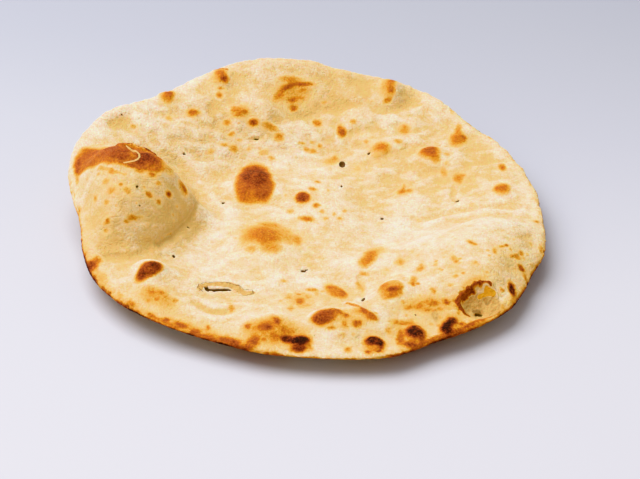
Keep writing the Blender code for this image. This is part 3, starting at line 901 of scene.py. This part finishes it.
@dataclass(frozen=True)
class CrustFinish:
    """The baked crust: pale floury dough that browns by its painted heat.

    bake holds the crust's colour at each heat, from barely warm to charred. grains, from the broadest to
    the finest, and freckle_clumps hold a blotch's width in mm, its finer layers and how strong those are.
    """

    flour: Colour = tone(255, 247, 231)
    golden: Colour = tone(225, 190, 121)
    # The dark of the painted shade inside pinholes and slits, and of the outlines round torn places.
    hole_shade_and_outline: Colour = tone(112, 80, 44)
    ochre: Colour = tone(196, 151, 84)
    lip: Colour = tone(224, 164, 50)
    curl: Colour = tone(238, 202, 132)
    bake: tuple[tuple[float, Colour], ...] = (
        (0.0, tone(247, 226, 178)),
        (0.1, tone(244, 212, 146)),
        (0.18, tone(237, 191, 104)),
        (0.27, tone(221, 156, 56)),
        (0.36, tone(202, 122, 38)),
        (0.48, tone(178, 97, 42)),
        (0.6, tone(154, 74, 32)),
        (0.72, tone(120, 49, 20)),
        (0.85, tone(76, 28, 10)),
        (1.0, tone(42, 14, 7)),
    )
    bake_share: float = 0.84
    grains: tuple[tuple[float, float, float], ...] = ((11, 3, 0.6), (3, 4, 0.65), (1, 3, 0.7))
    freckle_clumps: tuple[float, float, float] = (8, 1, 0.5)
    freckle_spacing: float = 4.4
    freckle_heat: float = 0.23
    relief: float = 0.0023
    roughness: float = 0.66
    gloss: float = 0.25
    softness: float = 0.25
    soft_depth: float = 0.002

    def material(self) -> bpy.types.Material:
        """Build the crust's material.

        Returns:
            The material, ready for any piece that has the painted layers.
        """
        board = Board("baked_crust")
        broad, small, fine = [board.noise(*grain) for grain in self.grains]
        mottle = (broad - 0.5) * 0.9 + (small - 0.5) * 1.3 + (fine - 0.5) * 1.4
        # pale is how golden the dough is: its own tints and mottle, with painted shade in hollows and on
        # right-hand flanks and painted light on bumps.
        pale = (0.55 + board.painted(Layer.HOLLOW) + mottle).eased(-0.25, 1.25)
        dough = board.blend(pale, self.flour, self.golden)
        speck = 1 - board.spots(self.freckle_spacing).eased(0.1, 0.34)
        clumps = board.noise(*self.freckle_clumps).eased(0.4, 0.6)
        freckles = board.painted(Layer.FRECKLING) * speck * clumps
        uneven = 1 + (small - 0.5) * 0.7 + (fine - 0.5) * 1.2
        heat = board.painted(Layer.BROWNING) * uneven + freckles * self.freckle_heat
        ramp = board.node("ShaderNodeValToRGB", {"stops": self.bake}, {"Fac": heat * self.bake_share})
        baked = board.blend(heat.eased(0.0, 0.2), dough, ramp)
        inner = board.blend((0.5 + mottle * 1.3).clamped(), self.ochre, self.golden)
        opened = board.blend(board.painted(Layer.BARE).eased(0.3, 0.7), baked, inner)
        lip = board.blend(board.painted(Layer.LIP).eased(0.74, 0.96), self.curl, self.lip)
        lipped = board.blend(board.painted(Layer.LIP).eased(0.3, 0.7), opened, lip)
        # Painted shade darkens pinholes and slits; the same dark draws the outlines round torn places.
        colour = board.blend(board.painted(Layer.HOLE).eased(0.15, 0.6), lipped, self.hole_shade_and_outline)
        bump = board.node(
            "ShaderNodeBump",
            None,
            {"Strength": 1.0, "Distance": self.relief, "Height": small * 0.6 + fine * 0.4},
        )
        return board.finish(
            Base_Color=colour,
            Roughness=self.roughness,
            Specular_IOR_Level=self.gloss,
            Normal=bump,
            Subsurface_Weight=self.softness,
            Subsurface_Scale=self.soft_depth,
        )


@dataclass(frozen=True)
class TableFinish:
    """The table: plain, pale and matt, with painted shade that darkens it towards its back."""

    near: Colour = tone(204, 206, 219)
    far: Colour = tone(161, 165, 180)
    roughness: float = 0.6

    def material(self) -> bpy.types.Material:
        """Build the table's material.

        Returns:
            The material.
        """
        board = Board("pale_table")
        away = board.node("ShaderNodeSeparateXYZ", None, {0: board.place()}, output="Y")
        # Painted shade: darker towards the back.
        colour = board.blend(away.eased(-0.2, 0.3), self.near, self.far)
        return board.finish(Base_Color=colour, Roughness=self.roughness)


# -------------------- the bread


def deselect() -> None:
    """Leave nothing selected."""
    bpy.ops.object.select_all(action="DESELECT")


def take_up(piece: bpy.types.Object) -> None:
    """Make one piece the only selected and active one.

    Args:
        piece: The piece.
    """
    deselect()
    piece.select_set(True)
    bpy.context.view_layer.objects.active = piece


@contextmanager
def editing() -> Iterator[None]:
    """Put the active piece in edit mode for as long as the block lasts."""
    bpy.ops.object.mode_set(mode="EDIT")
    yield
    bpy.ops.object.mode_set(mode="OBJECT")


def apply_modifier(piece: bpy.types.Object, kind: str, **settings: object) -> None:
    """Add a modifier to a piece and apply it at once.

    Args:
        piece: The piece.
        kind: The modifier's type.
        settings: The modifier's own settings.
    """
    take_up(piece)
    modifier = piece.modifiers.new(kind.lower(), kind)
    for name, value in settings.items():
        setattr(modifier, name, value)
    bpy.ops.object.modifier_apply(modifier=modifier.name)


def vertex_places(piece: bpy.types.Object) -> np.ndarray:
    """Read a piece's vertices.

    Args:
        piece: The piece.

    Returns:
        Their places in mm, one row each.
    """
    places = np.empty(len(piece.data.vertices) * 3, np.float32)
    piece.data.vertices.foreach_get("co", places)
    return places.reshape(-1, 3).astype(float) / MM


def vertex_normals(piece: bpy.types.Object) -> np.ndarray:
    """Read which way a piece's skin faces at its vertices.

    Args:
        piece: The piece.

    Returns:
        The outward directions, one row each.
    """
    normals = np.empty(len(piece.data.vertices) * 3, np.float32)
    piece.data.vertex_normals.foreach_get("vector", normals)
    return normals.reshape(-1, 3).astype(float)


def weigh(piece: bpy.types.Object, name: str, weights: np.ndarray) -> None:
    """Paint weights on a piece's vertices as a vertex group.

    Args:
        piece: The piece.
        name: The group's name.
        weights: Each vertex's weight, from 0 to 1.
    """
    group = piece.vertex_groups.new(name=name)
    for vertex in np.flatnonzero(weights > 1e-4):
        group.add([int(vertex)], float(weights[vertex]), "REPLACE")


def bearings(points: np.ndarray) -> np.ndarray:
    """Return each point's bearing from the bread's middle, 0 to 360 degrees from +X."""
    return np.degrees(np.arctan2(points[:, 1], points[:, 0])) % 360


@dataclass
class Bread:
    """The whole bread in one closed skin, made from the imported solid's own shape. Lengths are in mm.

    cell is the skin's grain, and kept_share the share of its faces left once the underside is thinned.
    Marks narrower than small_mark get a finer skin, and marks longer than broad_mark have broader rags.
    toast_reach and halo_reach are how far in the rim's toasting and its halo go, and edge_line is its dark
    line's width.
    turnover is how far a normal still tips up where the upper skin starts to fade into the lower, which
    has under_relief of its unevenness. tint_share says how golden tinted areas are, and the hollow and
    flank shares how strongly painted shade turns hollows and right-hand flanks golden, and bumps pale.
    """

    piece: bpy.types.Object = field(init=False)
    cell: float = 0.95
    smoothing: int = 6
    kept_share: float = 0.62
    small_mark: float = 2.0
    torn_margin: float = 1.0
    plain_roughness: float = 0.8
    crumb_reach: float = 4.0
    slit_depth: float = 1.4
    toast_reach: float = 3.2
    halo_reach: float = 7.0
    edge_line: float = 1.1
    broad_mark: float = 3.0
    under_heat: float = 0.24
    under_relief: float = 0.4
    turnover: float = 0.25
    tint_share: float = 1.1
    hollow_shade_share: float = 0.2
    flank_shade_share: float = 0.3

    def build(self, node: str) -> bpy.types.Object:
        """Build the bread.

        Args:
            node: The CAD node that gives its shape.

        Returns:
            The finished bread.
        """
        self.piece = self.copy_solid(node)
        self.soften()
        self.refine()
        self.swell()
        self.texture()
        self.settle()
        self.prick()
        self.tint()
        self.brown()
        self.dress()
        return self.piece

    def copy_solid(self, node: str) -> bpy.types.Object:
        """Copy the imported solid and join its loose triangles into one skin.

        Args:
            node: The CAD node's name.

        Returns:
            The copy.
        """
        take_up(frame["nodes"][node])
        bpy.ops.object.duplicate()
        piece = bpy.context.object
        piece.name = "naan_bread"
        piece.data.name = "naan_bread"
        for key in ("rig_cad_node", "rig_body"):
            if key in piece:
                del piece[key]
        with editing():
            bpy.ops.mesh.select_all(action="SELECT")
            bpy.ops.mesh.remove_doubles(threshold=1e-6)
            bpy.ops.mesh.tris_convert_to_quads(
                face_threshold=math.pi, shape_threshold=math.pi, topology_influence=2.0
            )
        return piece

    def soften(self) -> None:
        """Turn the solid's facets into an even, soft skin, finer above than below."""
        apply_modifier(self.piece, "SUBSURF", levels=2, render_levels=2)
        apply_modifier(self.piece, "REMESH", mode="VOXEL", voxel_size=self.cell * MM)
        apply_modifier(self.piece, "SMOOTH", factor=0.5, iterations=self.smoothing)
        below = np.clip((-0.2 - vertex_normals(self.piece)[:, 2]) / 0.3, 0, 1)
        weigh(self.piece, "below", below)
        apply_modifier(self.piece, "DECIMATE", ratio=self.kept_share, vertex_group="below")
        self.piece.vertex_groups.clear()

    def push(self, height: np.ndarray) -> None:
        """Push the skin out along its own normal, or in where the height is below 0.

        Args:
            height: How far each vertex goes, in mm.
        """
        for name, sign in (("out", 1), ("in", -1)):
            share = np.clip(height * sign, 0, None)
            most = float(share.max())
            if most < 1e-3:
                continue
            weigh(self.piece, name, share / most)
            apply_modifier(
                self.piece,
                "DISPLACE",
                vertex_group=name,
                strength=sign * most * MM,
                mid_level=0.0,
                direction="NORMAL",
            )
            self.piece.vertex_groups.clear()

    def refine(self) -> None:
        """Give the small marks a finer skin, and the pinholes and torn places a finer one again."""
        points = vertex_places(self.piece)
        near = np.zeros(len(points), bool)
        for mark in SCORCHES:
            if min(mark.long, mark.wide) < self.small_mark:
                near |= mark.reach(points) < 1.4
        self.split(near | self.torn(points))
        self.split(self.torn(vertex_places(self.piece)))

    def torn(self, points: np.ndarray) -> np.ndarray:
        """Find the points at a pinhole, slit or torn edge.

        Args:
            points: The points, in mm.

        Returns:
            Whether each point is at one.
        """
        near = np.zeros(len(points), bool)
        for streak in LIPS + SLITS + OUTLINES + RINGS:
            near |= path_gap(streak.path, points) < streak.width + self.torn_margin
        for prick in PRICKS:
            near |= prick.share(points) > 0
        return near

    def split(self, chosen: np.ndarray) -> None:
        """Cut the upper skin's chosen faces in four.

        Args:
            chosen: Which vertices the faces lie between.
        """
        self.pick(chosen & (vertex_normals(self.piece)[:, 2] > 0))
        with editing():
            bpy.ops.mesh.select_mode(type="FACE")
            bpy.ops.mesh.subdivide(number_cuts=1, smoothness=0.0)

    def pick(self, chosen: np.ndarray) -> None:
        """Select the chosen vertices and nothing else.

        Args:
            chosen: Whether each vertex is chosen.
        """
        take_up(self.piece)
        with editing():
            bpy.ops.mesh.select_mode(type="VERT")
            bpy.ops.mesh.select_all(action="DESELECT")
        self.piece.data.vertices.foreach_set("select", chosen)

    def facing_up(self) -> np.ndarray:
        """Return 1 on the upper skin and 0 below, with a soft change over the rim."""
        return np.clip(vertex_normals(self.piece)[:, 2] / self.turnover, 0, 1)

    def swell(self) -> None:
        """Raise the blisters and press the folds that the solid is too coarse for."""
        points = vertex_places(self.piece)
        height = sum(s.lift(points) for s in SWELLINGS) - sum(c.sink(points) for c in CREASES)
        self.push(height * self.facing_up())

    def texture(self) -> None:
        """Give the skin its uneven hand-stretched surface, and the rim its crumbs."""
        points = vertex_places(self.piece)
        rough = self.plain_roughness + sum(area.paint(points) for area in LUMPY)
        height = WAVES.over(points) + together(points, LUMPS) * rough
        height += PUCKERS.over(points) * (rough - self.plain_roughness)
        height += TORN_CRUMB.over(points) * strongest(BARE, points)
        crumbs = sum(np.abs(crumb.over(points)) for crumb in RIM_CRUMBS)
        height -= crumbs * np.clip(1 - self.edge_gap(points) / self.crumb_reach, 0, 1)
        self.push(height * (self.under_relief + (1 - self.under_relief) * self.facing_up()))

    def settle(self) -> None:
        """Flatten on the table whatever dips below it."""
        self.pick(vertex_places(self.piece)[:, 2] < 0)
        with editing():
            bpy.ops.transform.resize(value=(1, 1, 0), center_override=(0, 0, 0))

    def prick(self) -> None:
        """Sink the pinholes and slits and darken them with painted shade, and paint the dark outlines."""
        points = vertex_places(self.piece)
        up = self.facing_up()
        slits = strongest(SLITS, SLIT_RAGS.over(points))
        outlines = strongest(OUTLINES, FINE_RAGS.over(points))
        holes = up * np.max([slits, outlines, *(hole.share(points) for hole in PRICKS)], axis=0)
        depths = [self.slit_depth * slits, *(hole.sink(points) for hole in PRICKS)]
        self.push(-up * np.max(depths, axis=0))
        self.paint(Layer.HOLE, holes)

    def paint(self, layer: Layer, values: np.ndarray) -> None:
        """Store one layer's painted values on the skin."""
        attribute = self.piece.data.attributes.new(layer.value, "FLOAT", "POINT")
        attribute.data.foreach_set("value", values.astype(np.float32))

    def hollowness(self, rounds: int) -> np.ndarray:
        """Return how far each point lies below the skin around it, in mm.

        Args:
            rounds: How many times the skin is averaged; more rounds find broader hollows.

        Returns:
            The depth at each point, below 0 on a bump.
        """
        mesh = self.piece.data
        ends = np.empty(len(mesh.edges) * 2, np.int32)
        mesh.edges.foreach_get("vertices", ends)
        one, other = ends.reshape(-1, 2).T
        near, far = np.concatenate([one, other]), np.concatenate([other, one])
        count = np.bincount(near, minlength=len(mesh.vertices))
        start = vertex_places(self.piece)
        points = start.copy()
        for _ in range(rounds):
            for axis in range(3):
                points[:, axis] = np.bincount(near, points[far, axis], len(mesh.vertices)) / count
        return ((points - start) * vertex_normals(self.piece)).sum(axis=1)

    @staticmethod
    def edge_gap(points: np.ndarray) -> np.ndarray:
        """Return how far inside the bread's outline each point is.

        Args:
            points: The skin's vertices, in mm.

        Returns:
            The distances in mm.
        """
        bearing = bearings(points)
        radius = np.hypot(points[:, 0], points[:, 1])
        step = 2.0
        rim = np.zeros(int(360 / step))
        np.maximum.at(rim, (bearing / step).astype(int), radius)
        return np.interp(bearing, (np.arange(len(rim)) + 0.5) * step, rim, period=360) - radius

    def tint(self) -> None:
        """Paint how golden the dough is, with painted shade in hollows and on flanks to the right and
        painted light on bumps, and its freckles.
        """
        points = vertex_places(self.piece)
        up = self.facing_up()
        golden = self.tint_share * sum(area.paint(points) for area in TINTS)
        # Painted shade: hollows made more golden, and bumps paler as painted light.
        for rounds, (deep, low, high) in HOLLOW_SHADE.items():
            golden += self.hollow_shade_share * np.clip(self.hollowness(rounds) / deep, low, high)
        # Painted shade on flanks that face right, away from the key lamp.
        golden += self.flank_shade_share * np.clip(vertex_normals(self.piece)[:, 0], 0, 1)
        self.paint(Layer.HOLLOW, golden * up)
        freckled = np.max([area.paint(points, fade=1.5) for area in FRECKLED], axis=0)
        self.paint(Layer.FRECKLING, up * freckled)

    def rim_heat(self, points: np.ndarray) -> np.ndarray:
        """Return how toasted the rim is at each point.

        The toasting reaches in by an uneven width and is strongest where the skin turns down. It has a
        faint halo inside it, and a dark line along the very edge.

        Args:
            points: The skin's vertices, in mm.

        Returns:
            The heat at each of them.
        """
        gap = self.edge_gap(points)
        toast = np.interp(bearings(points), list(RIM_TOAST), list(RIM_TOAST.values()))
        tilt = vertex_normals(self.piece)[:, 2]
        reach = self.toast_reach + together(points, RIM_REACH)
        rim = toast * np.clip(1.3 - gap / reach.clip(0.6), 0, 1) * (0.78 + RIM_BLOTCHES.over(points))
        rim *= 0.3 + 0.9 * np.clip(1.05 - 1.6 * tilt, 0, 1)
        halo = 0.3 * toast * np.clip(1 - gap / self.halo_reach, 0, 1)
        line = 1.25 * toast * np.clip(2.1 - gap / self.edge_line, 0, 1)
        line *= np.clip(1.6 - 2.4 * tilt, 0, 1) * (0.75 + LINE_BLOTCHES.over(points))
        return np.max([rim, halo, line], axis=0).clip(0)

    def underside_heat(self, points: np.ndarray) -> np.ndarray:
        """Return how browned the underside is at each point: unevenly, and less towards the rim."""
        heat = np.clip(self.under_heat + together(points, UNDER_BLOTCHES), 0.05, 0.9)
        return heat * np.clip(0.4 + self.edge_gap(points) / 12, 0, 1)

    def brown(self) -> None:
        """Paint the browning, the torn places, and the loose curl and lip of crust."""
        points = vertex_places(self.piece)
        up = self.facing_up()
        rim = self.rim_heat(points)
        torn, worn = BROAD_RAGS.over(points), FINE_RAGS.over(points)
        rings = strongest(RINGS, RING_RAGS.over(points))
        marked = blended(m.paint(torn if m.long > self.broad_mark else worn) for m in SCORCHES + STREAKS)
        top = blended([marked, rings, rim])
        under = blended([self.underside_heat(points), rim * 0.95])
        self.paint(Layer.BROWNING, top * up + under * (1 - up))
        self.paint(Layer.BARE, up * strongest(BARE, torn) * np.clip(1 - rings / 0.4, 0, 1))
        self.paint(Layer.LIP, up * strongest(LIPS, points))

    def dress(self) -> None:
        """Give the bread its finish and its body."""
        self.piece.data.materials.clear()
        self.piece.data.materials.append(CrustFinish().material())
        take_up(self.piece)
        bpy.ops.object.shade_smooth()
        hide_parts("naan")
        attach(self.piece, "root")


# -------------------- table, light and camera


@dataclass(frozen=True)
class Lamp:
    """A square soft lamp, aimed at the middle of the table. Lengths are in metres."""

    name: str
    place: tuple[float, float, float]
    size: float
    energy: float
    colour: tuple[float, float, float]

    def hang(self) -> None:
        """Hang the lamp."""
        deselect()
        bpy.ops.object.light_add(type="AREA", location=self.place)
        lamp = bpy.context.object
        lamp.name = self.name
        lamp.data.size = self.size
        lamp.data.energy = self.energy
        lamp.data.color = self.colour
        lamp.rotation_mode = "QUATERNION"
        lamp.rotation_quaternion = (-lamp.location).to_track_quat("-Z", "Y")


@dataclass
class Studio:
    """The pale table, the soft light and the camera, in metres but for the lens and sensor, in mm."""

    table_size: float = 6.0
    lamps: tuple[Lamp, ...] = (
        Lamp("key_lamp", (-0.55, 0.38, 1.22), 1.5, 28.6, (1.0, 1.0, 1.0)),
        Lamp("warm_glow", (-0.6, -1.1, 0.4), 0.8, 2.4, (1.0, 0.68, 0.36)),
    )
    walls: Colour = (1.0, 0.93, 0.84, 1.0)
    wall_light: float = 0.59
    aim: tuple[float, float, float] = (0.0076, -0.0051, 0.0)
    elevation: float = 35.0
    distance: float = 0.833
    lens: float = 100.0
    sensor: float = 36.0

    def build(self) -> None:
        """Set out the table, the lamps, the room and the camera."""
        self.table()
        for lamp in self.lamps:
            lamp.hang()
        self.room()
        self.camera()

    def table(self) -> None:
        """Lay the table under the bread."""
        deselect()
        bpy.ops.mesh.primitive_plane_add(size=self.table_size, location=(0, 0, 0))
        table = bpy.context.object
        table.name = "table"
        table.data.materials.append(TableFinish().material())

    def room(self) -> None:
        """Fill the rest with soft, slightly warm light from pale walls."""
        world = bpy.data.worlds.new("pale_room")
        bpy.context.scene.world = world
        world.use_nodes = True
        walls = world.node_tree.nodes["Background"].inputs
        walls["Color"].default_value = self.walls
        walls["Strength"].default_value = self.wall_light

    def camera(self) -> None:
        """Set the camera in front of the bread, looking down on it."""
        tilt = math.radians(self.elevation)
        back = Vector((0, -math.cos(tilt), math.sin(tilt)))
        deselect()
        bpy.ops.object.camera_add(location=Vector(self.aim) + back * self.distance)
        camera = bpy.context.object
        camera.name = "camera"
        camera.data.lens = self.lens
        camera.data.sensor_width = self.sensor
        camera.rotation_mode = "QUATERNION"
        camera.rotation_quaternion = (-back).to_track_quat("-Z", "Y")
        bpy.context.scene.camera = camera


def main() -> None:
    """Build the bread and its studio."""
    logging.basicConfig(level=logging.INFO)
    bread = Bread().build("naan")
    triangles = sum(len(face.vertices) - 2 for face in bread.data.polygons)
    LOG.info("%s: %d triangles", bread.name, triangles)
    Studio().build()
    bpy.context.scene.view_settings.view_transform = "Khronos PBR Neutral"


if __name__ == "__main__":
    main()
